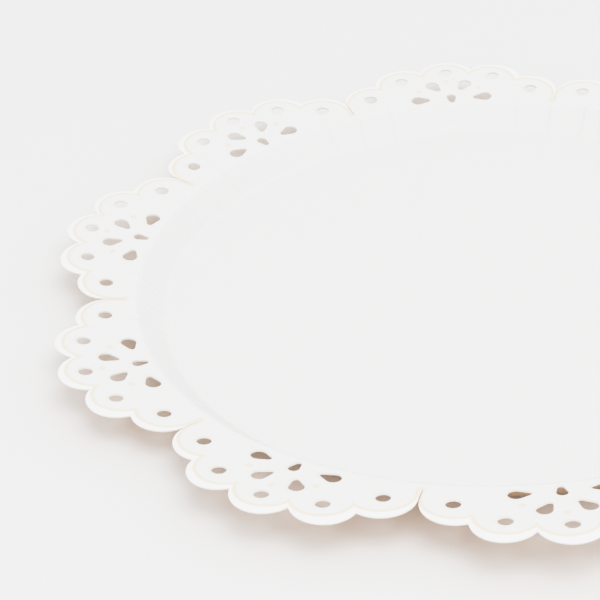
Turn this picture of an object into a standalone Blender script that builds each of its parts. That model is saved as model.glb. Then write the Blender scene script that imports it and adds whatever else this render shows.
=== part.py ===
"""Pressed paperboard party plate with a die-cut eyelet-lace rim, in metres, +Z up.

The plate stands on z = 0, centred on the Z axis. One tenth of it, a single lobe with its share
of the wall and the base, is drawn flat, raised to the pressed profile and spun round the axis.
"""

import math

import bmesh
import bpy
from mathutils import Vector

# Pressed profile
BASE_RADIUS = 0.0998  # the flat base, up to the corner where the wall starts
WALL_RUN = 0.0073  # how far the wall reaches outwards
WALL_RISE = 0.0074  # and upwards
RIM_WIDTH = 0.0279  # from the fold at the wall's top to the scallop tips
RIM_SLOPE = 0.126  # the rim's rise for each unit of its width
BEND_REACH = 0.0011  # each bend starts and ends this far from its corner
BOARD = 0.0005  # thickness of the paperboard

# Barrier film on the food side of the base and the wall
FILM = 0.00005
FILM_GAP = 0.0003

# Lobes and their scallops
LOBES = 10
SLIT = 0.0003  # width of the cut between two lobes
SLIT_START = 0.0021  # from the end of the fold's bend to the inner end of the slit
SLIT_TAPER = 0.0006  # length over which the slit opens from its point to its width
SCALLOP_DEPTH = 0.0047  # from the tips of two scallops to the notch between them
SECOND_SHARE = 0.406  # angle of a lobe's second scallop, as a share of half a lobe
END_SHARE = 0.735  # angle of its end scallop
SECOND_DROP = 0.0024  # how far the second scallop's tip is inside the middle one's
END_DROP = 0.0097  # the same for the end scallop

# Punched holes
EYELET_DIAMETER = 0.0041
MIDDLE_INSET = 0.0079  # from a scallop's tip to the middle of its eyelet
SECOND_INSET = 0.0085
END_INSET = 0.0088
END_EYELET_SHARE = 0.756  # the end eyelet stands a little outside its scallop's middle
FLOWER_CLEARANCE = 0.0005  # from the end of the fold's bend to the flower's lowest edge
CENTRE_LENGTH = 0.0050
CENTRE_WIDTH = 0.0032
UPPER_PETAL_GAP = 0.0041  # from the side of the flower's middle hole to a petal's point
UPPER_PETAL_LENGTH = 0.0066
UPPER_PETAL_WIDTH = 0.0044
UPPER_PETAL_TURN = math.radians(34)
LOWER_PETAL_GAP = 0.0053
LOWER_PETAL_LENGTH = 0.0068
LOWER_PETAL_WIDTH = 0.0045
LOWER_PETAL_TURN = math.radians(90)

# How finely round shapes are drawn
ARC_STEPS = 8  # per scallop, and per lobe along the fold
HOLE_STEPS = 9

FOLD_RADIUS = BASE_RADIUS + WALL_RUN
BEND_END = FOLD_RADIUS + BEND_REACH  # the rim is a plain cone outside this
TIP_RADIUS = FOLD_RADIUS + RIM_WIDTH
HALF_LOBE = math.pi / LOBES
WELD = 1e-6


def clear_scene():
    for thing in list(bpy.data.objects):
        bpy.data.objects.remove(thing, do_unlink=True)


def bend(radius, corner, slope_before, slope_after):
    """Height above a straight line of slope_before, near a corner with a rounded bend."""
    past = radius - (corner - BEND_REACH)
    if past <= 0:
        return 0.0
    turn = slope_after - slope_before
    if past < 2 * BEND_REACH:
        return turn * past * past / (4 * BEND_REACH)
    return turn * (radius - corner)


def food_face_height(radius):
    """Height of the board's food face: flat base, wall, then the gently rising rim."""
    wall_slope = WALL_RISE / WALL_RUN
    rise = bend(radius, BASE_RADIUS, 0.0, wall_slope)
    return BOARD + rise + bend(radius, FOLD_RADIUS, wall_slope, RIM_SLOPE)


def scallop_radius():
    """Radius at which two scallops on the tip circle meet SCALLOP_DEPTH below their tips."""
    share = math.sin(SECOND_SHARE * HALF_LOBE / 2) ** 2
    half_b = share * TIP_RADIUS + SCALLOP_DEPTH
    c = share * (share * TIP_RADIUS**2 + SCALLOP_DEPTH**2)
    return (half_b - math.sqrt(half_b**2 - c)) / share


def polar(radius, angle):
    """A point in the lobe's own plan, where the lobe's middle line is +Y."""
    return Vector((radius * math.sin(angle), radius * math.cos(angle)))


def scallops():
    """Centre and radius of the five scallops of a lobe, from left to right."""
    reach = scallop_radius()
    middle = TIP_RADIUS - reach
    second = polar(middle - SECOND_DROP, SECOND_SHARE * HALF_LOBE)
    to_slit = math.sin(HALF_LOBE * (1 - END_SHARE))
    end_tip = TIP_RADIUS - END_DROP
    end_reach = (end_tip * to_slit - SLIT / 2) / (1 + to_slit)  # just reaches the slit
    end = polar(end_tip - end_reach, END_SHARE * HALF_LOBE)
    right = [(second, reach), (end, end_reach)]
    left = [(Vector((-centre.x, centre.y)), size) for centre, size in reversed(right)]
    return left + [(polar(middle, 0.0), reach)] + right


def notch(first, second):
    """The outer meeting point of two scallop circles."""
    (a, radius_a), (b, radius_b) = first, second
    apart = b - a
    along = (apart.length_squared + radius_a**2 - radius_b**2) / (2 * apart.length)
    across = math.sqrt(radius_a**2 - along**2)
    way = apart.normalized()
    return a + way * along + Vector((-way.y, way.x)) * across


def arc(centre, start, end, steps):
    """Points from start to end, clockwise round centre, without the last one."""
    first = math.atan2(start.y - centre.y, start.x - centre.x)
    last = math.atan2(end.y - centre.y, end.x - centre.x)
    if last > first:
        last -= 2 * math.pi
    radius = (start - centre).length
    angles = [first + (last - first) * step / steps for step in range(steps)]
    return [centre + radius * Vector((math.cos(a), math.sin(a))) for a in angles]


def slit_side():
    """The left slit's edge: its inner point, its shoulder and where the end scallop meets it."""
    along = polar(1.0, -HALF_LOBE)
    inwards = Vector((along.y, -along.x)) * SLIT / 2
    start = BEND_END + SLIT_START
    end_centre = scallops()[0][0]
    return [
        along * start,
        along * (start + SLIT_TAPER) + inwards,
        along * end_centre.dot(along) + inwards,
    ]


def mirrored(points):
    return [Vector((-point.x, point.y)) for point in reversed(points)]


def lobe_outline():
    """The lobe's edge from its left slit over the scallops to its right slit."""
    left = slit_side()
    right = mirrored(left)
    circles = scallops()
    meets = [left[-1]] + [notch(*pair) for pair in zip(circles, circles[1:])] + [right[0]]
    points = left[:-1]
    for (centre, _), start, end in zip(circles, meets, meets[1:]):
        points += arc(centre, start, end, ARC_STEPS)
    return points + right


def fold_line():
    """The rim's inner edge, from the right side of the lobe to the left."""
    steps = range(ARC_STEPS + 1)
    return [polar(BEND_END, HALF_LOBE * (1 - 2 * step / ARC_STEPS)) for step in steps]


def teardrop(point, turn, length, width):
    """A drop with its point at point and its round end at the given turn from +Y."""
    radius = width / 2
    reach = length - radius
    open_angle = math.acos(radius / reach)
    way = polar(1.0, turn)
    side = Vector((way.y, -way.x))
    outline = [point]
    for step in range(HOLE_STEPS):
        angle = math.pi - open_angle - 2 * (math.pi - open_angle) * step / (HOLE_STEPS - 1)
        spoke = way * math.cos(angle) + side * math.sin(angle)
        outline.append(point + way * reach + spoke * radius)
    return outline


def eyelet(radius, angle):
    turns = [2 * math.pi * step / HOLE_STEPS for step in range(HOLE_STEPS)]
    return [polar(radius, angle) + polar(EYELET_DIAMETER / 2, turn) for turn in turns]


def punched_holes():
    """Outlines of a lobe's five eyelets and of the flower under them."""
    second = (TIP_RADIUS - SECOND_DROP - SECOND_INSET, SECOND_SHARE * HALF_LOBE)
    end = (TIP_RADIUS - END_DROP - END_INSET, END_EYELET_SHARE * HALF_LOBE)
    holes = [eyelet(TIP_RADIUS - MIDDLE_INSET, 0.0)]
    for radius, angle in (second, end):
        holes += [eyelet(radius, angle), eyelet(radius, -angle)]
    lowest = max(CENTRE_LENGTH, LOWER_PETAL_WIDTH) / 2
    flower = Vector((0.0, BEND_END + FLOWER_CLEARANCE + lowest))
    low_point = flower - Vector((0.0, CENTRE_LENGTH / 2))
    holes.append(teardrop(low_point, 0.0, CENTRE_LENGTH, CENTRE_WIDTH))
    petals = [
        (UPPER_PETAL_TURN, UPPER_PETAL_GAP, UPPER_PETAL_LENGTH, UPPER_PETAL_WIDTH),
        (LOWER_PETAL_TURN, LOWER_PETAL_GAP, LOWER_PETAL_LENGTH, LOWER_PETAL_WIDTH),
    ]
    for turn, gap, length, width in petals:
        for way in (turn, -turn):
            point = flower + polar(CENTRE_WIDTH / 2 + gap, way)
            holes.append(teardrop(point, way, length, width))
    return holes


def add_loop(mesh, points):
    corners = [mesh.verts.new((point.x, point.y, 0.0)) for point in points]
    for first, second in zip(corners, corners[1:] + corners[:1]):
        mesh.edges.new((first, second))


def add_rim_lobe(mesh):
    """A lobe of the rim, flat, with its holes."""
    add_loop(mesh, lobe_outline() + fold_line())
    for hole in punched_holes():
        add_loop(mesh, hole)
    bmesh.ops.triangle_fill(mesh, use_beauty=True, use_dissolve=False, edges=mesh.edges[:])


def add_wall_and_base(mesh, edge):
    """Strips from the rim's inner edge down to the base, and the base's own wedge."""
    rings = [
        FOLD_RADIUS,
        FOLD_RADIUS - BEND_REACH,
        BASE_RADIUS + BEND_REACH,
        BASE_RADIUS,
        BASE_RADIUS - BEND_REACH,
        0.0,
    ]
    last = BEND_END
    for ring in rings:
        made = bmesh.ops.extrude_edge_only(mesh, edges=edge)["geom"]
        corners = [item for item in made if isinstance(item, bmesh.types.BMVert)]
        edge = [item for item in made if isinstance(item, bmesh.types.BMEdge)]
        bmesh.ops.scale(mesh, verts=corners, vec=(ring / last,) * 3)
        last = ring
    bmesh.ops.remove_doubles(mesh, verts=mesh.verts[:], dist=WELD)


def fold_edges(mesh):
    """The edges that lie along the rim's inner edge."""

    def on_fold(vert):
        return abs(math.hypot(vert.co.x, vert.co.y) - BEND_END) < WELD

    return [edge for edge in mesh.edges if all(on_fold(vert) for vert in edge.verts)]


def finish_sheet(mesh, name):
    """Raises a flat wedge to the pressed profile and spins it into the whole sheet."""
    for vert in mesh.verts:
        vert.co.z = food_face_height(math.hypot(vert.co.x, vert.co.y))
    bmesh.ops.spin(
        mesh,
        geom=mesh.verts[:] + mesh.edges[:] + mesh.faces[:],
        cent=(0, 0, 0),
        axis=(0, 0, 1),
        dvec=(0, 0, 0),
        angle=2 * math.pi * (LOBES - 1) / LOBES,
        steps=LOBES - 1,
        use_duplicate=True,
    )
    bmesh.ops.remove_doubles(mesh, verts=mesh.verts[:], dist=WELD)
    bmesh.ops.recalc_face_normals(mesh, faces=mesh.faces[:])
    if sum(face.normal.z * face.calc_area() for face in mesh.faces) < 0:
        bmesh.ops.reverse_faces(mesh, faces=mesh.faces[:])
    data = bpy.data.meshes.new(name)
    mesh.to_mesh(data)
    mesh.free()
    sheet = bpy.data.objects.new(name, data)
    bpy.context.scene.collection.objects.link(sheet)
    return sheet


def add_thickness(sheet, thickness, offset):
    """Offset -1 grows under the sheet, 1 on top of it, and more leaves a gap first."""
    wall = sheet.modifiers.new("thickness", "SOLIDIFY")
    wall.thickness = thickness
    wall.offset = offset
    wall.use_even_offset = True


def paint(sheet, name, colour, roughness):
    material = bpy.data.materials.new(name)
    material.use_nodes = True
    shader = material.node_tree.nodes["Principled BSDF"]
    shader.inputs["Base Color"].default_value = (*colour, 1.0)
    shader.inputs["Roughness"].default_value = roughness
    shader.inputs["Metallic"].default_value = 0.0
    sheet.data.materials.append(material)


def build_board():
    mesh = bmesh.new()
    add_rim_lobe(mesh)
    add_wall_and_base(mesh, fold_edges(mesh))
    sheet = finish_sheet(mesh, "plate_board")
    add_thickness(sheet, BOARD, -1.0)
    paint(sheet, "uncoated white paperboard", (0.88, 0.88, 0.87), 0.75)


def build_film():
    mesh = bmesh.new()
    corners = [mesh.verts.new((point.x, point.y, 0.0)) for point in fold_line()]
    edge = [mesh.edges.new(pair) for pair in zip(corners, corners[1:])]
    add_wall_and_base(mesh, edge)
    sheet = finish_sheet(mesh, "barrier_film")
    add_thickness(sheet, FILM, 1.0 + 2 * FILM_GAP / FILM)
    paint(sheet, "clear barrier film", (0.90, 0.90, 0.90), 0.45)


def main():
    clear_scene()
    build_board()
    build_film()


main()
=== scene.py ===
"""A lace-rimmed party plate of pressed white paperboard, standing on a pale studio table.

The board is one die-cut and pressed sheet with a printed cream edge line, and the barrier film
lies on the food side of its base and wall.
"""

import math

import bmesh
import bpy
from bpy.props import FloatProperty, FloatVectorProperty, PointerProperty
from mathutils import Euler, Matrix, Vector


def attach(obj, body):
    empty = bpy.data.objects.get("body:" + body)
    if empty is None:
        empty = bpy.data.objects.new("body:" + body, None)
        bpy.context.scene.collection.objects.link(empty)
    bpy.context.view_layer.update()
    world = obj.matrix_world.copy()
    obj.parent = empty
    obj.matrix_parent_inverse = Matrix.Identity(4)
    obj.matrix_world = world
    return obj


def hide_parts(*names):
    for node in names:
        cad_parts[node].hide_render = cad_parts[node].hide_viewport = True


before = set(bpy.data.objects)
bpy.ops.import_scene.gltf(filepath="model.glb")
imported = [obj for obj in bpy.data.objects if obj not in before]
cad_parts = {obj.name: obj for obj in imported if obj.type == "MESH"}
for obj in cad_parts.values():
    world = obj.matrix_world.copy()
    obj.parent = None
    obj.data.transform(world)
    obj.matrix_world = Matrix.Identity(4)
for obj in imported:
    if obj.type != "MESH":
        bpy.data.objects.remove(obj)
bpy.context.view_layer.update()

bl_info = {
    "name": "Lace-rimmed party plate",
    "version": (1, 0, 0),
    "blender": (4, 5, 0),
    "location": "3D View > Sidebar > Plate",
    "description": "Builds a pressed paperboard plate with a die-cut eyelet-lace rim",
    "category": "Add Mesh",
}

LOBES = 10
HALF_LOBE = math.pi / LOBES
TURN = 2 * math.pi
WELD = 1e-6
SAME_LINE = 3e-5  # corners this near a cutting line count as being on it
CORNER = math.radians(50)  # faces that meet at more than this are shaded as a corner

# How finely the sheet is cut
SCALLOP_STEPS = 26
HOLE_STEPS = 30
DROP_END_STEPS = 22
DROP_POINT_STEPS = 6
COLUMNS = 48  # radial strips of one lobe, before the closer ones at the pleats
BASE_RINGS = (0.045, 0.07, 0.088)
BEND_RINGS = 3  # on each side of a bend's corner
WALL_RINGS = 6
RIM_RING_STEP = 0.0011
CENTRE_DISC = 0.02  # the base inside this is a flat fan
FLAT_MARGIN = 0.004  # the base is flat up to this far inside its corner

# A lobe's scallops. A share is an angle from the lobe's middle line, as a share of half a lobe,
# and a drop is how far the scallop's tip lies inside the middle one's.
SCALLOP_RADIUS = 0.00919
SECOND_SHARE, SECOND_DROP = 0.406, 0.0024
END_SHARE, END_DROP = 0.735, 0.0097
SLIT_START = 0.0021  # from the fold's bend to the slit's pointed inner end
SLIT_TAPER = 0.0006  # length of that point

# The eyelets' distances from the tips of their scallops
MIDDLE_INSET, SECOND_INSET, END_INSET = 0.0079, 0.0085, 0.0088
END_EYELET_SHARE = 0.756

# The flower. Each drop has its turn in degrees from the lobe's middle line, its point's distance
# from the flower's middle, its length and its width.
FLOWER_OUT = 0.003  # from the fold's bend to the flower's middle
FLOWER_DROPS = (
    (0, -0.0023, 0.0048, 0.0032),
    (34, 0.0061, 0.0062, 0.0044),
    (90, 0.0074, 0.0063, 0.0045),
)
DROP_POINT = 0.00095  # radius of a drop's blunt point

# The printed line goes round circles, each with its centre's distance from the tips, its share
# and its radius. What lies inside the other distances from the tips is filled.
LINE_CIRCLES = ((0.0114, 0.0, 0.0084), (0.0138, 0.383, 0.00845), (0.02145, 0.728, 0.0092))
LINE_BESIDE_SLIT, LINE_ALL_ROUND, LINE_MIDDLE = 0.0219, 0.0250, 0.0155
LINE_TO_SLIT = 0.0006
MIDDLE_REACH = 0.022  # half the width of the filled middle of its shape
DOTS = ((0.0, 0.1218, 0.0), (0.01024, 0.11665, 0.0))

EDGE_DRAW = 0.25  # how far the turned-down edge is drawn in, for each unit that it falls

# The rim's spring in mm, as waves: how many go round, their cosine part and their sine part
SPRING = ((1, -0.21, -0.99), (2, -0.56, -0.67), (3, 0.0, 0.2))

# The pleats: beside each slit, growing from inside the base's corner and fading past the fold
PLEAT_ASIDE = math.radians(6.3)
PLEAT_START, PLEAT_GROWTH, PLEAT_FADE = 0.002, 0.003, 0.006

# The studio
TABLE_REACH, TABLE_DEPTH = 4.0, 0.00005
SOFTBOX_PLACE, SOFTBOX_SIZE = Vector((0.2, -0.5, 1.25)), 1.2
CAMERA_PLACE = Vector((-0.0698, -0.5120, 0.3263))
CAMERA_TURN, CAMERA_TILT, CAMERA_ROLL = -1.19, 57.68, -4.31  # degrees
WALL_GLOW, CEILING_GLOW = 0.95, 1.05  # of the fill light

MATH, VECTOR, RANGE = "ShaderNodeMath", "ShaderNodeVectorMath", "ShaderNodeMapRange"
SMOOTH = {"interpolation_type": "SMOOTHSTEP"}
COLOURS = {"data_type": "RGBA"}


class PlateShape(bpy.types.PropertyGroup):
    """Sizes of the pressed sheet, the same as the CAD board's."""

    board: FloatProperty(
        name="Board",
        description="Thickness of the paperboard",
        default=0.0005,
        unit="LENGTH",
        precision=5,
    )
    base_radius: FloatProperty(
        name="Base radius",
        description="The flat base, up to the corner where the wall starts",
        default=0.0998,
        unit="LENGTH",
        precision=5,
    )
    wall_run: FloatProperty(
        name="Wall run",
        description="How far the wall reaches outwards",
        default=0.0073,
        unit="LENGTH",
        precision=5,
    )
    wall_rise: FloatProperty(
        name="Wall rise",
        description="How far the wall reaches upwards",
        default=0.0074,
        unit="LENGTH",
        precision=5,
    )
    rim_width: FloatProperty(
        name="Rim width",
        description="From the fold at the wall's top to the scallop tips",
        default=0.0279,
        unit="LENGTH",
        precision=5,
    )
    rim_slope: FloatProperty(
        name="Rim slope", description="The rim's rise for each unit of its width", default=0.126
    )
    bend_reach: FloatProperty(
        name="Bend reach",
        description="Each bend starts and ends this far from its corner",
        default=0.0011,
        unit="LENGTH",
        precision=5,
    )
    eyelet: FloatProperty(
        name="Eyelet",
        description="Diameter of the round punched holes",
        default=0.0041,
        unit="LENGTH",
        precision=5,
    )
    slit: FloatProperty(
        name="Slit",
        description="Width of the cut between two lobes",
        default=0.0003,
        unit="LENGTH",
        precision=5,
    )
    edge_start: FloatProperty(
        name="Edge start",
        description="How far inside the printed line the edge starts to turn down",
        default=0.001,
        unit="LENGTH",
        precision=5,
    )
    edge_curve: FloatProperty(
        name="Edge curve", description="How fast the edge turns down, per metre", default=107.0
    )
    pleat_height: FloatProperty(
        name="Pleat height",
        description="Height of the small radial folds that the press leaves in the wall",
        default=0.0003,
        unit="LENGTH",
        precision=5,
    )
    pleat_width: FloatProperty(
        name="Pleat width",
        description="Width of those folds",
        default=0.0011,
        unit="LENGTH",
        precision=5,
    )
    film_gap: FloatProperty(
        name="Film gap",
        description="Space between the board and the barrier film drawn over it",
        default=0.00003,
        unit="LENGTH",
        precision=5,
    )
    film: FloatProperty(
        name="Film",
        description="Thickness of the barrier film",
        default=0.00005,
        unit="LENGTH",
        precision=5,
    )


class PlatePrint(bpy.types.PropertyGroup):
    """The cream print, the paper's own colours and a painted highlight on the bare edge."""

    line: FloatProperty(
        name="Line", description="Width of the edge line", default=0.001, unit="LENGTH", precision=5
    )
    dot: FloatProperty(
        name="Dot", description="Diameter of the dots", default=0.002, unit="LENGTH", precision=5
    )
    ring: FloatProperty(
        name="Ring",
        description="Width of the ring round each hole",
        default=0.0005,
        unit="LENGTH",
        precision=5,
    )
    ring_share: FloatProperty(
        name="Ring strength", description="How full the rings' ink is", default=0.4, subtype="FACTOR"
    )
    bleed: FloatProperty(
        name="Bleed",
        description="How far the ink's edge fades to each side",
        default=0.00015,
        unit="LENGTH",
        precision=5,
    )
    shift: FloatProperty(
        name="Misregister",
        description="How far the print sits to the left of the cut",
        default=0.00045,
        unit="LENGTH",
        precision=5,
    )
    cream: FloatVectorProperty(
        name="Cream", description="The ink", default=(0.82, 0.73, 0.59), subtype="COLOR"
    )
    # painted highlight: the bare edge outside the printed line is coloured brighter than the rest of
    # the board's face, though the paper is the same there
    edge_highlight: FloatVectorProperty(
        name="Border", description="The bright edge", default=(0.93, 0.93, 0.925), subtype="COLOR"
    )
    glow: FloatVectorProperty(
        name="Glow",
        description="Colour of the light that the board lets through",
        default=(1.0, 0.79, 0.64),
        subtype="COLOR",
    )
    see_through: FloatProperty(
        name="See-through",
        description="Share of the light that enters the board",
        default=0.13,
        subtype="FACTOR",
    )


class PlateStage(bpy.types.PropertyGroup):
    """The studio: camera, lights and table."""

    lens: FloatProperty(
        name="Lens", description="Focal length", default=122.56, subtype="DISTANCE_CAMERA"
    )
    key: FloatProperty(
        name="Key light", description="Power of the big soft light", default=5.3, unit="POWER"
    )
    fill: FloatProperty(
        name="Fill light", description="Strength of the light from all round", default=0.56
    )


def shoulder(level):
    """Tone curve that maps the table's level to its own and bends over above it."""
    table, shown, strength = 0.6, 0.863, 2.0
    return shown * (1 - math.exp(-strength * level / table)) / (1 - math.exp(-strength))


def linear(code):
    """A linear RGBA colour from an sRGB hex code."""
    parts = [int(code[i : i + 2], 16) / 255 for i in (1, 3, 5)]
    return [c / 12.92 if c <= 0.04045 else ((c + 0.055) / 1.055) ** 2.4 for c in parts] + [1.0]


# ---- the pressed profile


def bend(radius, corner, reach, slope_before, slope_after):
    """Height above a straight line of slope_before, near a corner with a rounded bend."""
    past = radius - (corner - reach)
    if past <= 0:
        return 0.0
    turn = slope_after - slope_before
    if past < 2 * reach:
        return turn * past * past / (4 * reach)
    return turn * (radius - corner)


def fold_radius(shape):
    return shape.base_radius + shape.wall_run


def food_face_height(shape, radius):
    """Height of the board's food face: flat base, wall, then the gently rising rim."""
    slope = shape.wall_rise / shape.wall_run
    reach = shape.bend_reach
    rise = bend(radius, shape.base_radius, reach, 0.0, slope)
    return shape.board + rise + bend(radius, fold_radius(shape), reach, slope, shape.rim_slope)


def warp(angle):
    """How far a light board's rim has sprung out of true, in metres, at an angle from +X."""
    waves = [a * math.cos(n * angle) + b * math.sin(n * angle) for n, a, b in SPRING]
    return sum(waves) / 1000


def smooth_step(value):
    value = min(max(value, 0.0), 1.0)
    return value * value * (3 - 2 * value)


def pleat_angles():
    """Where the press leaves a pleat, as angles from a lobe's middle line."""
    return [HALF_LOBE - PLEAT_ASIDE, HALF_LOBE]


def pleats(shape, radius, local):
    """Height of the pleats at an angle from the lobe's middle line."""
    fold = fold_radius(shape)
    up = smooth_step((radius - shape.base_radius + PLEAT_START) / PLEAT_GROWTH)
    out = 1 - smooth_step((radius - fold) / PLEAT_FADE)
    if up * out == 0:
        return 0.0
    total = 0.0
    for middle in pleat_angles():
        aside = abs(abs(local) - middle) * radius / (shape.pleat_width / 2)
        total += 1 - smooth_step(aside)
    return shape.pleat_height * up * out * total


def polar(radius, angle):
    """A point in the lobe's own plan, where the lobe's middle line is +Y."""
    return Vector((radius * math.sin(angle), radius * math.cos(angle), 0.0))


def mirrored(place):
    return Vector((-place.x, place.y, 0.0))


def line_circles(shape):
    """Centres and radii of the circles that the printed edge line follows, on the right half."""
    tip = fold_radius(shape) + shape.rim_width
    return [(polar(tip - inset, share * HALF_LOBE), size) for inset, share, size in LINE_CIRCLES]


def line_limits(shape):
    """Radii inside which the line's shape is filled: beside the slit, all round, in the middle."""
    tip = fold_radius(shape) + shape.rim_width
    return tip - LINE_BESIDE_SLIT, tip - LINE_ALL_ROUND, tip - LINE_MIDDLE


def past_line(shape, radius, local):
    """How far a point at an angle from the lobe's middle line lies outside the printed line."""
    place = polar(radius, abs(local))
    beside, inner, middle = line_limits(shape)
    to_slit = (HALF_LOBE - abs(local)) * radius
    parts = [(place - centre).length - reach for centre, reach in line_circles(shape)]
    parts.append(max(radius - beside, LINE_TO_SLIT - to_slit))
    parts.append(radius - inner)
    parts.append(max(radius - middle, place.x - MIDDLE_REACH))
    return min(parts)


def edge_fall(shape, radius, local):
    """How far the press turns the scallops' edge down, growing from just inside the line."""
    past = max(past_line(shape, radius, local) + shape.edge_start, 0.0)
    return shape.edge_curve / 2 * past * past


def sheet_point(shape, point):
    """Where a point of the flat sheet's food face ends up when it is pressed."""
    radius = math.hypot(point.x, point.y)
    if radius < shape.base_radius - FLAT_MARGIN:
        return Vector((point.x, point.y, shape.board))
    angle = math.atan2(point.y, point.x)
    local = (angle - math.pi / 2 + HALF_LOBE) % (2 * HALF_LOBE) - HALF_LOBE
    lift = smooth_step((radius - shape.base_radius) / shape.wall_run)
    fall = edge_fall(shape, radius, local)
    height = food_face_height(shape, radius) + lift * warp(angle) + pleats(shape, radius, local)
    drawn_in = 1 - EDGE_DRAW * fall / radius
    return Vector((point.x * drawn_in, point.y * drawn_in, height - fall))


# ---- the die: the lobe's outline and holes


def scallops(shape):
    """Centre and radius of the five scallops of a lobe, from left to right."""
    tip = fold_radius(shape) + shape.rim_width
    reach = SCALLOP_RADIUS
    second = polar(tip - reach - SECOND_DROP, SECOND_SHARE * HALF_LOBE)
    to_slit = math.sin(HALF_LOBE * (1 - END_SHARE))
    end_tip = tip - END_DROP
    end_reach = (end_tip * to_slit - shape.slit / 2) / (1 + to_slit)
    end = polar(end_tip - end_reach, END_SHARE * HALF_LOBE)
    right = [(second, reach), (end, end_reach)]
    left = [(mirrored(centre), size) for centre, size in reversed(right)]
    return left + [(polar(tip - reach, 0.0), reach)] + right


def meeting(first, second):
    """The outer meeting point of two scallop circles."""
    (a, radius_a), (b, radius_b) = first, second
    apart = b - a
    along = (apart.length_squared + radius_a**2 - radius_b**2) / (2 * apart.length)
    across = math.sqrt(radius_a**2 - along**2)
    way = apart.normalized()
    return a + way * along + Vector((-way.y, way.x, 0.0)) * across


def draw_line(mesh, points):
    corners = [mesh.verts.new(point) for point in points]
    for pair in zip(corners, corners[1:]):
        mesh.edges.new(pair)


def swing(mesh, centre, start, sweep, steps):
    """Draws an arc from start, clockwise round centre."""
    corner = mesh.verts.new(start)
    bmesh.ops.spin(
        mesh,
        geom=[corner],
        cent=centre,
        axis=(0, 0, 1),
        dvec=(0, 0, 0),
        angle=-sweep,
        steps=steps,
        use_duplicate=False,
    )


def draw_scallop(mesh, centre, start, end):
    first = math.atan2(start.y - centre.y, start.x - centre.x)
    last = math.atan2(end.y - centre.y, end.x - centre.x)
    swing(mesh, centre, start, (first - last) % TURN, SCALLOP_STEPS)


def draw_outline(mesh, shape):
    """The edge of a lobe's whole sector, from the centre disc out round the scallops."""
    along = polar(1.0, HALF_LOBE)
    inwards = Vector((-along.y, along.x, 0.0)) * shape.slit / 2
    start = fold_radius(shape) + shape.bend_reach + SLIT_START
    circles = scallops(shape)
    right = [
        along * CENTRE_DISC,
        along * start,
        along * (start + SLIT_TAPER) + inwards,
        along * circles[-1][0].dot(along) + inwards,
    ]
    left = [mirrored(point) for point in right]
    draw_line(mesh, right)
    draw_line(mesh, left)
    draw_line(mesh, [left[0], right[0]])
    meets = [left[-1]] + [meeting(*pair) for pair in zip(circles, circles[1:])] + [right[-1]]
    for (centre, _), begin, end in zip(circles, meets, meets[1:]):
        draw_scallop(mesh, centre, begin, end)


def draw_drop(mesh, point, turn, length, width):
    """A drop with its blunt point at point and its round end at turn from +Y."""
    blunt = DROP_POINT
    radius = width / 2
    way = polar(1.0, turn)
    side = polar(1.0, turn + math.pi / 2)
    big, small = point + way * (length - radius), point + way * blunt
    lean = math.asin((radius - blunt) / (big - small).length)
    left = -side * math.cos(lean) - way * math.sin(lean)
    right = side * math.cos(lean) - way * math.sin(lean)
    swing(mesh, big, big + left * radius, math.pi + 2 * lean, DROP_END_STEPS)
    swing(mesh, small, small + right * blunt, math.pi - 2 * lean, DROP_POINT_STEPS)
    draw_line(mesh, [big + right * radius, small + right * blunt])
    draw_line(mesh, [small + left * blunt, big + left * radius])


def eyelet_places(shape):
    """Middles of the eyelets on the right half of a lobe, from its middle line outwards."""
    tip = fold_radius(shape) + shape.rim_width
    return [
        polar(tip - MIDDLE_INSET, 0.0),
        polar(tip - SECOND_DROP - SECOND_INSET, SECOND_SHARE * HALF_LOBE),
        polar(tip - END_DROP - END_INSET, END_EYELET_SHARE * HALF_LOBE),
    ]


def flower_drops(shape):
    """Point, turn, length and width of the flower's drops on the right half of a lobe."""
    flower = Vector((0.0, fold_radius(shape) + shape.bend_reach + FLOWER_OUT, 0.0))
    return [
        (flower + polar(out, math.radians(turn)), math.radians(turn), length, width)
        for turn, out, length, width in FLOWER_DROPS
    ]


def draw_holes(mesh, shape):
    """A lobe's five eyelets and the flower under them."""
    places = eyelet_places(shape)
    for place in places + [mirrored(place) for place in places[1:]]:
        bmesh.ops.create_circle(
            mesh, segments=HOLE_STEPS, radius=shape.eyelet / 2, matrix=Matrix.Translation(place)
        )
    drops = flower_drops(shape)
    for drop in drops:
        draw_drop(mesh, *drop)
    for point, turn, length, width in drops[1:]:
        draw_drop(mesh, mirrored(point), -turn, length, width)


# ---- the sheet


def unroll(mesh, span):
    """Turns the plan into angle times span across, and radius up."""
    for vert in mesh.verts:
        radius = math.hypot(vert.co.x, vert.co.y)
        vert.co = Vector((math.atan2(vert.co.x, vert.co.y) * span, radius, 0.0))


def roll_up(mesh, span):
    for vert in mesh.verts:
        vert.co = polar(vert.co.y, vert.co.x / span)


def column_lines(span, shape):
    """Angles of the radial cuts, closer together at the pleats."""
    step = 2 * HALF_LOBE / COLUMNS
    angles = {round(-HALF_LOBE + step * i, 6) for i in range(1, COLUMNS)}
    near = shape.pleat_width / 2 / fold_radius(shape)
    for middle in pleat_angles():
        for way in (-1, 1):
            angles = {a for a in angles if abs(a - way * middle) > 1.4 * near}
            close = [way * middle + near * share for share in (-1, -0.5, 0, 0.5, 1)]
            angles |= {a for a in close if abs(a) < HALF_LOBE - WELD}
    return [angle * span for angle in sorted(angles)]


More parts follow.
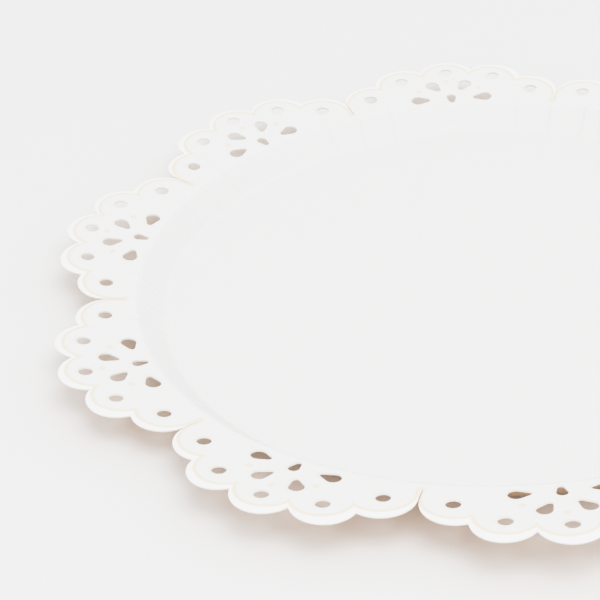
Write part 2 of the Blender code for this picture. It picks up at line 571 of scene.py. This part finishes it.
def ring_lines(shape, outer):
    """Radii of the ring cuts: few on the base, close in the bends, even on the rim."""
    reach = shape.bend_reach
    fold = fold_radius(shape)
    rings = [*BASE_RINGS, shape.base_radius - FLAT_MARGIN]
    for corner in (shape.base_radius, fold):
        rings += [corner + reach * i / BEND_RINGS for i in range(-BEND_RINGS, BEND_RINGS + 1)]
    wall_start, wall_end = shape.base_radius + reach, fold - reach
    rings += [wall_start + (wall_end - wall_start) * i / WALL_RINGS for i in range(1, WALL_RINGS)]
    ring = fold + reach + RIM_RING_STEP
    while ring < outer:
        rings.append(ring)
        ring += RIM_RING_STEP
    return [ring for ring in rings if CENTRE_DISC < ring < outer - SAME_LINE]


def cut_grid(mesh, columns, rings):
    """Cuts the filled sector into a grid, then dissolves the fill's own slanting edges."""

    def cut(place, way):
        everything = mesh.verts[:] + mesh.edges[:] + mesh.faces[:]
        bmesh.ops.bisect_plane(
            mesh, geom=everything, dist=SAME_LINE / 3, plane_co=place, plane_no=way
        )

    for column in columns:
        cut((column, 0, 0), (1, 0, 0))
    for ring in rings:
        cut((0, ring, 0), (0, 1, 0))

    def on_line(edge, lines, axis):
        a, b = (vert.co[axis] for vert in edge.verts)
        if abs(a - b) > 2 * SAME_LINE:
            return False
        return any(abs(a - line) < SAME_LINE and abs(b - line) < SAME_LINE for line in lines)

    slanting = [
        edge
        for edge in mesh.edges
        if len(edge.link_faces) == 2
        and not on_line(edge, columns, 0)
        and not on_line(edge, rings, 1)
    ]
    bmesh.ops.dissolve_edges(mesh, edges=slanting, use_verts=False, use_face_split=False)
    spare = [v for v in mesh.verts if len(v.link_edges) == 2 and not v.is_boundary]
    bmesh.ops.dissolve_verts(mesh, verts=spare)


def spin_lobes(mesh):
    bmesh.ops.spin(
        mesh,
        geom=mesh.verts[:] + mesh.edges[:] + mesh.faces[:],
        cent=(0, 0, 0),
        axis=(0, 0, 1),
        dvec=(0, 0, 0),
        angle=TURN * (LOBES - 1) / LOBES,
        steps=LOBES - 1,
        use_duplicate=True,
    )
    bmesh.ops.remove_doubles(mesh, verts=mesh.verts[:], dist=WELD)


def close_centre(mesh):
    """Draws the inner edge of the sheet in to the middle of the base."""
    inner = [
        edge
        for edge in mesh.edges
        if edge.is_boundary and all(vert.co.length < CENTRE_DISC * 1.1 for vert in edge.verts)
    ]
    made = bmesh.ops.extrude_edge_only(mesh, edges=inner)["geom"]
    middle = [item for item in made if isinstance(item, bmesh.types.BMVert)]
    bmesh.ops.pointmerge(mesh, verts=middle, merge_co=(0, 0, 0))


def press(mesh, shape):
    """Gives the flat sheet its pressed height and turns its faces up."""
    for vert in mesh.verts:
        vert.co = sheet_point(shape, vert.co)
    bmesh.ops.recalc_face_normals(mesh, faces=mesh.faces[:])
    if sum(face.normal.z * face.calc_area() for face in mesh.faces) < 0:
        bmesh.ops.reverse_faces(mesh, faces=mesh.faces[:])


def new_piece(mesh, name):
    data = bpy.data.meshes.new(name)
    mesh.to_mesh(data)
    mesh.free()
    piece = bpy.data.objects.new(name, data)
    bpy.context.scene.collection.objects.link(piece)
    return piece


def thicken(piece, thickness, offset, rim_slot=0, back_slot=0):
    """Makes a sheet solid: offset -1 grows under it and 1 on top of it."""
    wall = piece.modifiers.new("thickness", "SOLIDIFY")
    wall.thickness = thickness
    wall.offset = offset
    wall.use_even_offset = True
    wall.material_offset_rim = rim_slot
    wall.material_offset = back_slot
    settled = piece.evaluated_get(bpy.context.evaluated_depsgraph_get())
    solid = bpy.data.meshes.new_from_object(settled)
    piece.modifiers.clear()
    piece.data = solid
    solid.name = piece.name
    solid.shade_smooth()
    solid.set_sharp_from_angle(angle=CORNER)


# ---- materials


def add(tree, kind, settings=None, **links):
    """Adds one node, with its settings and its inputs: values, or nodes or sockets to link.

    An input is given by its name, with _ for a space, or as i0, i1 and so on by its place. A node
    is linked from the first of its outputs that is in use.
    """
    node = tree.nodes.new(kind)
    for key, value in (settings or {}).items():
        setattr(node, key, value)
    for key, value in links.items():
        name = int(key[1:]) if key[1:].isdigit() else key.replace("_", " ")
        if isinstance(value, bpy.types.Node):
            value = next(output for output in value.outputs if output.enabled)
        if isinstance(value, bpy.types.NodeSocket):
            tree.links.new(value, node.inputs[name])
        else:
            node.inputs[name].default_value = value
    return node


def new_material(name):
    material = bpy.data.materials.new(name)
    material.use_nodes = True
    tree = material.node_tree
    return material, tree, tree.nodes["Principled BSDF"]


def lobe_place(tree, where, shift):
    """The place on a lobe, folded onto its right half: its vector, radius, angle and x."""
    flat = add(
        tree, VECTOR, {"operation": "MULTIPLY_ADD"}, i0=where, i1=(1, 1, 0), i2=(shift, 0, 0)
    )
    radius = add(tree, VECTOR, {"operation": "LENGTH"}, i0=flat)
    split = add(tree, "ShaderNodeSeparateXYZ", i0=flat).outputs
    turn = add(tree, MATH, {"operation": "ARCTAN2"}, i0=split["X"], i1=split["Y"])
    wrapped = add(tree, MATH, {"operation": "WRAP"}, i0=turn, i1=HALF_LOBE, i2=-HALF_LOBE)
    angle = add(tree, MATH, {"operation": "ABSOLUTE"}, i0=wrapped)
    sine = add(tree, MATH, {"operation": "SINE"}, i0=angle)
    cosine = add(tree, MATH, {"operation": "COSINE"}, i0=angle)
    x = add(tree, MATH, {"operation": "MULTIPLY"}, i0=sine, i1=radius)
    y = add(tree, MATH, {"operation": "MULTIPLY"}, i0=cosine, i1=radius)
    return add(tree, "ShaderNodeCombineXYZ", X=x, Y=y), radius, angle, x


def from_circle(tree, place, centre, radius):
    """Distance outside a circle, in metres."""
    away = add(tree, VECTOR, {"operation": "DISTANCE"}, i0=place, i1=centre)
    return add(tree, MATH, {"operation": "SUBTRACT"}, i0=away, i1=radius)


def from_drop(tree, place, point, turn, length, width):
    """Distance outside a drop, in metres."""
    big, small = width / 2, DROP_POINT
    start = point + polar(small, turn)
    line = polar(length - big - small, turn)
    off = add(tree, VECTOR, {"operation": "SUBTRACT"}, i0=place, i1=start)
    part = add(tree, VECTOR, {"operation": "DOT_PRODUCT"}, i0=off, i1=line / line.length_squared)
    share = add(tree, MATH, {"operation": "ADD", "use_clamp": True}, i0=part, i1=0.0)
    along = add(tree, VECTOR, {"operation": "MULTIPLY"}, i0=share, i1=line)
    away = add(tree, VECTOR, {"operation": "DISTANCE"}, i0=off, i1=along)
    reach = add(tree, MATH, {"operation": "MULTIPLY_ADD"}, i0=share, i1=big - small, i2=small)
    return add(tree, MATH, {"operation": "SUBTRACT"}, i0=away, i1=reach)


def nearest(tree, distances):
    near = distances[0]
    for distance in distances[1:]:
        near = add(tree, MATH, {"operation": "MINIMUM"}, i0=near, i1=distance)
    return near


def inside_line(tree, spot, shape):
    """Distance outside the shape that the printed edge line goes round."""
    place, radius, angle, x = spot
    beside, inner, middle = line_limits(shape)
    parts = [from_circle(tree, place, *circle) for circle in line_circles(shape)]
    # down each side of the slit, and round its inner end
    to_slit = add(tree, MATH, {"operation": "SUBTRACT"}, i0=HALF_LOBE, i1=angle)
    off = add(tree, MATH, {"operation": "MULTIPLY"}, i0=to_slit, i1=radius)
    side = add(tree, MATH, {"operation": "SUBTRACT"}, i0=LINE_TO_SLIT, i1=off)
    across = add(tree, MATH, {"operation": "SUBTRACT"}, i0=x, i1=MIDDLE_REACH)
    for limit, edge in ((beside, side), (inner, None), (middle, across)):
        past = add(tree, MATH, {"operation": "SUBTRACT"}, i0=radius, i1=limit)
        if edge is not None:
            past = add(tree, MATH, {"operation": "MAXIMUM"}, i0=past, i1=edge)
        parts.append(past)
    return nearest(tree, parts)


def printed_ink(tree, where, shape, ink):
    """Where the cream ink lies, from 0 to 1, and where the bare edge outside it is, for a painted
    highlight.
    """
    spot = lobe_place(tree, where, ink.shift)
    place = spot[0]
    outside = inside_line(tree, spot, shape)
    across = add(tree, MATH, {"operation": "ABSOLUTE"}, i0=outside)
    half, bleed = ink.line / 2, ink.bleed
    line = add(tree, RANGE, SMOOTH, Value=across, From_Min=half + bleed, From_Max=half - bleed)

    away = nearest(tree, [from_circle(tree, place, dot, ink.dot / 2) for dot in DOTS])
    dots = add(tree, RANGE, SMOOTH, Value=away, From_Min=bleed, From_Max=-bleed)

    holes = [from_circle(tree, place, p, shape.eyelet / 2) for p in eyelet_places(shape)]
    holes += [from_drop(tree, place, *drop) for drop in flower_drops(shape)]
    away, wide = nearest(tree, holes), ink.ring
    rings = add(tree, RANGE, SMOOTH, Value=away, From_Min=wide + bleed, From_Max=wide - bleed)
    rings = add(tree, MATH, {"operation": "MULTIPLY"}, i0=rings, i1=ink.ring_share)

    inked = add(tree, MATH, {"operation": "MAXIMUM"}, i0=line, i1=dots)
    inked = add(tree, MATH, {"operation": "MAXIMUM"}, i0=inked, i1=rings)
    # mask of the bare edge outside the line, which gets the painted highlight
    edge_highlight = add(tree, RANGE, SMOOTH, Value=outside, From_Min=-bleed, From_Max=bleed)
    return inked, edge_highlight


def paper(name, shape, ink, colour, lets_in=None, printed=False):
    """Pressed paperboard: matt, with short fibres and a faint cloudiness.

    lets_in is the share of light that enters at this face of the rim. What has entered leaves at
    the other face, warm. None is for a face that light neither enters nor leaves by.
    """
    material, tree, shader = new_material(name)
    where = add(tree, "ShaderNodeTexCoord").outputs["Object"]
    # the fibres clump in clouds about 3 mm across, a little duller than the rest
    cloud = add(tree, "ShaderNodeTexNoise", Vector=where, Scale=1 / 0.003, Detail=3.0)
    bright = linear(colour)
    dull = [part * 0.985 for part in bright]
    colour = add(tree, "ShaderNodeMix", COLOURS, i0=cloud, i6=bright, i7=dull)
    if printed:
        inked, edge_highlight = printed_ink(tree, where, shape, ink)
        # painted highlight: the bare edge outside the line gets a brighter colour than the rest of
        # the face
        white, cream = [*ink.edge_highlight, 1.0], [*ink.cream, 1.0]
        colour = add(tree, "ShaderNodeMix", COLOURS, i0=edge_highlight, i6=colour, i7=white)
        colour = add(tree, "ShaderNodeMix", COLOURS, i0=inked, i6=colour, i7=cream)
    tree.links.new(colour.outputs[2], shader.inputs["Base Color"])
    shader.inputs["Roughness"].default_value = 0.62
    shader.inputs["Specular IOR Level"].default_value = 0.35
    # single fibres are 0.03 mm wide, too fine to show, so they are drawn ten times that
    fibre = add(tree, "ShaderNodeTexNoise", Vector=where, Scale=1 / 0.0003, Detail=4.0)
    bump = add(tree, "ShaderNodeBump", Strength=0.35, Distance=0.00003, Height=fibre)
    tree.links.new(bump.outputs[0], shader.inputs["Normal"])
    if lets_in is not None:
        share = add(tree, "ShaderNodeNewGeometry").outputs["Backfacing"]
        if lets_in:
            # the coated base and wall let no light in, only the bare rim does
            radius, fold = lobe_place(tree, where, 0.0)[1], fold_radius(shape)
            bare = add(
                tree, RANGE, SMOOTH, Value=radius, From_Min=fold - 0.001, From_Max=fold + 0.002
            )
            bare = add(tree, MATH, {"operation": "MULTIPLY"}, i0=bare, i1=lets_in)
            share = add(tree, MATH, {"operation": "MAXIMUM"}, i0=share, i1=bare)
        through = add(tree, "ShaderNodeBsdfTranslucent", Color=[*ink.glow, 1.0])
        both = add(tree, "ShaderNodeMixShader", i0=share, i1=shader, i2=through)
        tree.links.new(both.outputs[0], tree.nodes["Material Output"].inputs["Surface"])
    return material


def satin_film(name):
    """Clear barrier coating: it adds a low, broad sheen and hides nothing."""
    material, tree, shader = new_material(name)
    shader.inputs["Base Color"].default_value = linear("#FAFAFA")
    shader.inputs["Roughness"].default_value = 0.38
    shader.inputs["Alpha"].default_value = 0.15
    where = add(tree, "ShaderNodeTexCoord").outputs["Object"]
    # the coating follows the board's fibres as a soft orange peel about 1 mm across
    peel = add(tree, "ShaderNodeTexNoise", Vector=where, Scale=1 / 0.001, Detail=2.0)
    bump = add(tree, "ShaderNodeBump", Strength=0.2, Distance=0.00002, Height=peel)
    tree.links.new(bump.outputs[0], shader.inputs["Normal"])
    return material


# ---- operators


class PLATE_OT_board(bpy.types.Operator):
    """Cuts and presses the paperboard sheet"""

    bl_idname = "plate.board"
    bl_label = "Paperboard"

    def execute(self, context):
        shape, ink = context.scene.plate_shape, context.scene.plate_print
        mesh = bmesh.new()
        draw_outline(mesh, shape)
        bmesh.ops.remove_doubles(mesh, verts=mesh.verts[:], dist=WELD)
        draw_holes(mesh, shape)
        bmesh.ops.remove_doubles(mesh, verts=mesh.verts[:], dist=WELD)
        span = fold_radius(shape)
        unroll(mesh, span)
        bmesh.ops.triangle_fill(
            mesh, use_beauty=True, use_dissolve=False, edges=mesh.edges[:], normal=(0, 0, 1)
        )
        if not mesh.faces:
            raise RuntimeError("The lobe's outline and holes didn't fill")
        outer = fold_radius(shape) + shape.rim_width
        cut_grid(mesh, column_lines(span, shape), ring_lines(shape, outer))
        roll_up(mesh, span)
        spin_lobes(mesh)
        close_centre(mesh)
        press(mesh, shape)
        sheet = new_piece(mesh, "board_sheet")
        for name, colour, lets_in, printed in (
            # this face's material also carries the painted highlight on the bare edge
            ("bleached top ply, printed", "#EBEBEA", 0.0, True),
            ("unbleached kraft back, uncoated", "#CEAC8F", ink.see_through, False),
            ("bleached top ply, die-cut edge", "#F6F3EE", None, False),
        ):
            sheet.data.materials.append(paper(name, shape, ink, colour, lets_in, printed))
        thicken(sheet, shape.board, -1.0, rim_slot=2, back_slot=1)
        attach(sheet, "root")
        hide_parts("plate_board")
        return {"FINISHED"}


class PLATE_OT_film(bpy.types.Operator):
    """Lays the barrier film over the base and the wall"""

    bl_idname = "plate.film"
    bl_label = "Barrier film"

    def execute(self, context):
        shape = context.scene.plate_shape
        outer = fold_radius(shape) + shape.bend_reach
        span = fold_radius(shape)
        half = HALF_LOBE * span
        mesh = bmesh.new()
        corners = [(-half, CENTRE_DISC), (half, CENTRE_DISC), (half, outer), (-half, outer)]
        mesh.faces.new([mesh.verts.new((x, y, 0.0)) for x, y in corners])
        cut_grid(mesh, column_lines(span, shape), ring_lines(shape, outer))
        roll_up(mesh, span)
        spin_lobes(mesh)
        close_centre(mesh)
        press(mesh, shape)
        film = new_piece(mesh, "barrier_skin")
        film.data.materials.append(satin_film("clear polymer barrier coating, satin"))
        thicken(film, shape.film, 1.0 + 2 * shape.film_gap / shape.film)
        # the coating's edge is pressed into the board, so it dips under the board's face there
        for vert in film.data.vertices:
            reach = (math.hypot(vert.co.x, vert.co.y) - outer) / shape.bend_reach + 1
            vert.co.z -= 2 * (shape.film + shape.film_gap) * smooth_step(reach)
        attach(film, "root")
        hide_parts("barrier_film")
        return {"FINISHED"}


class PLATE_OT_stage(bpy.types.Operator):
    """Sets the table, the soft lights and the camera"""

    bl_idname = "plate.stage"
    bl_label = "Studio"

    def execute(self, context):
        stage = context.scene.plate_stage
        scene = context.scene
        scene.view_settings.view_transform = "Standard"
        # a camera's soft shoulder: pale tones crowd together and shadows open up
        scene.view_settings.use_curve_mapping = True
        curve = scene.view_settings.curve_mapping.curves[3]
        for level in (0.1, 0.2, 0.35, 0.6, 0.8):
            curve.points.new(level, shoulder(level))
        curve.points[-1].location = (1.0, shoulder(1.0))
        scene.view_settings.curve_mapping.update()

        mesh = bmesh.new()
        bmesh.ops.create_grid(mesh, x_segments=1, y_segments=1, size=TABLE_REACH)
        bmesh.ops.translate(mesh, verts=mesh.verts[:], vec=(0, 0, -TABLE_DEPTH))
        floor = new_piece(mesh, "table")
        # matt laminate spreads what falls on it evenly, so the shadows stay soft
        material, tree, shader = new_material("matt white laminate")
        shader.inputs["Base Color"].default_value = linear("#E7E7E7")
        shader.inputs["Roughness"].default_value = 0.8
        floor.data.materials.append(material)

        world = bpy.data.worlds.new("studio")
        scene.world = world
        world.use_nodes = True
        tree = world.node_tree
        # a white ceiling, and slightly dimmer walls
        where = add(tree, "ShaderNodeTexCoord").outputs["Generated"]
        up = add(tree, "ShaderNodeSeparateXYZ", i0=where).outputs["Z"]
        low, high = stage.fill * WALL_GLOW, stage.fill * CEILING_GLOW
        glow = add(tree, RANGE, Value=up, To_Min=low, To_Max=high)
        tree.links.new(glow.outputs[0], tree.nodes["Background"].inputs["Strength"])
        tree.nodes["Background"].inputs["Color"].default_value = (1, 1, 1, 1)

        lamp = bpy.data.lights.new("softbox", "AREA")
        lamp.shape = "DISK"
        lamp.size = SOFTBOX_SIZE
        lamp.energy = stage.key
        softbox = bpy.data.objects.new("softbox", lamp)
        aim = (-SOFTBOX_PLACE).to_track_quat("-Z", "Y")
        softbox.matrix_world = Matrix.Translation(SOFTBOX_PLACE) @ aim.to_matrix().to_4x4()
        scene.collection.objects.link(softbox)

        data = bpy.data.cameras.new("camera")
        data.lens = stage.lens
        data.sensor_width = 36
        camera = bpy.data.objects.new("camera", data)
        turn = Euler((0, 0, math.radians(CAMERA_TURN))).to_matrix()
        tilt = Euler((math.radians(CAMERA_TILT), 0, 0)).to_matrix()
        roll = Euler((0, 0, math.radians(CAMERA_ROLL))).to_matrix()
        camera.matrix_world = Matrix.Translation(CAMERA_PLACE) @ (turn @ tilt @ roll).to_4x4()
        scene.collection.objects.link(camera)
        scene.camera = camera
        return {"FINISHED"}


class PLATE_PT_panel(bpy.types.Panel):
    bl_label = "Party plate"
    bl_space_type = "VIEW_3D"
    bl_region_type = "UI"
    bl_category = "Plate"

    def draw(self, context):
        for operator in STEPS:
            self.layout.operator(operator.bl_idname)
        scene = context.scene
        for group in (scene.plate_shape, scene.plate_print, scene.plate_stage):
            for name in group.__annotations__:
                self.layout.prop(group, name)


STEPS = (PLATE_OT_board, PLATE_OT_film, PLATE_OT_stage)
CLASSES = (PlateShape, PlatePrint, PlateStage, *STEPS, PLATE_PT_panel)


def register():
    for cls in CLASSES:
        bpy.utils.register_class(cls)
    bpy.types.Scene.plate_shape = PointerProperty(type=PlateShape)
    bpy.types.Scene.plate_print = PointerProperty(type=PlatePrint)
    bpy.types.Scene.plate_stage = PointerProperty(type=PlateStage)


def unregister():
    del bpy.types.Scene.plate_shape
    del bpy.types.Scene.plate_print
    del bpy.types.Scene.plate_stage
    for cls in reversed(CLASSES):
        bpy.utils.unregister_class(cls)


def main():
    register()
    bpy.ops.plate.board()
    bpy.ops.plate.film()
    bpy.ops.plate.stage()


if __name__ == "__main__":
    main()
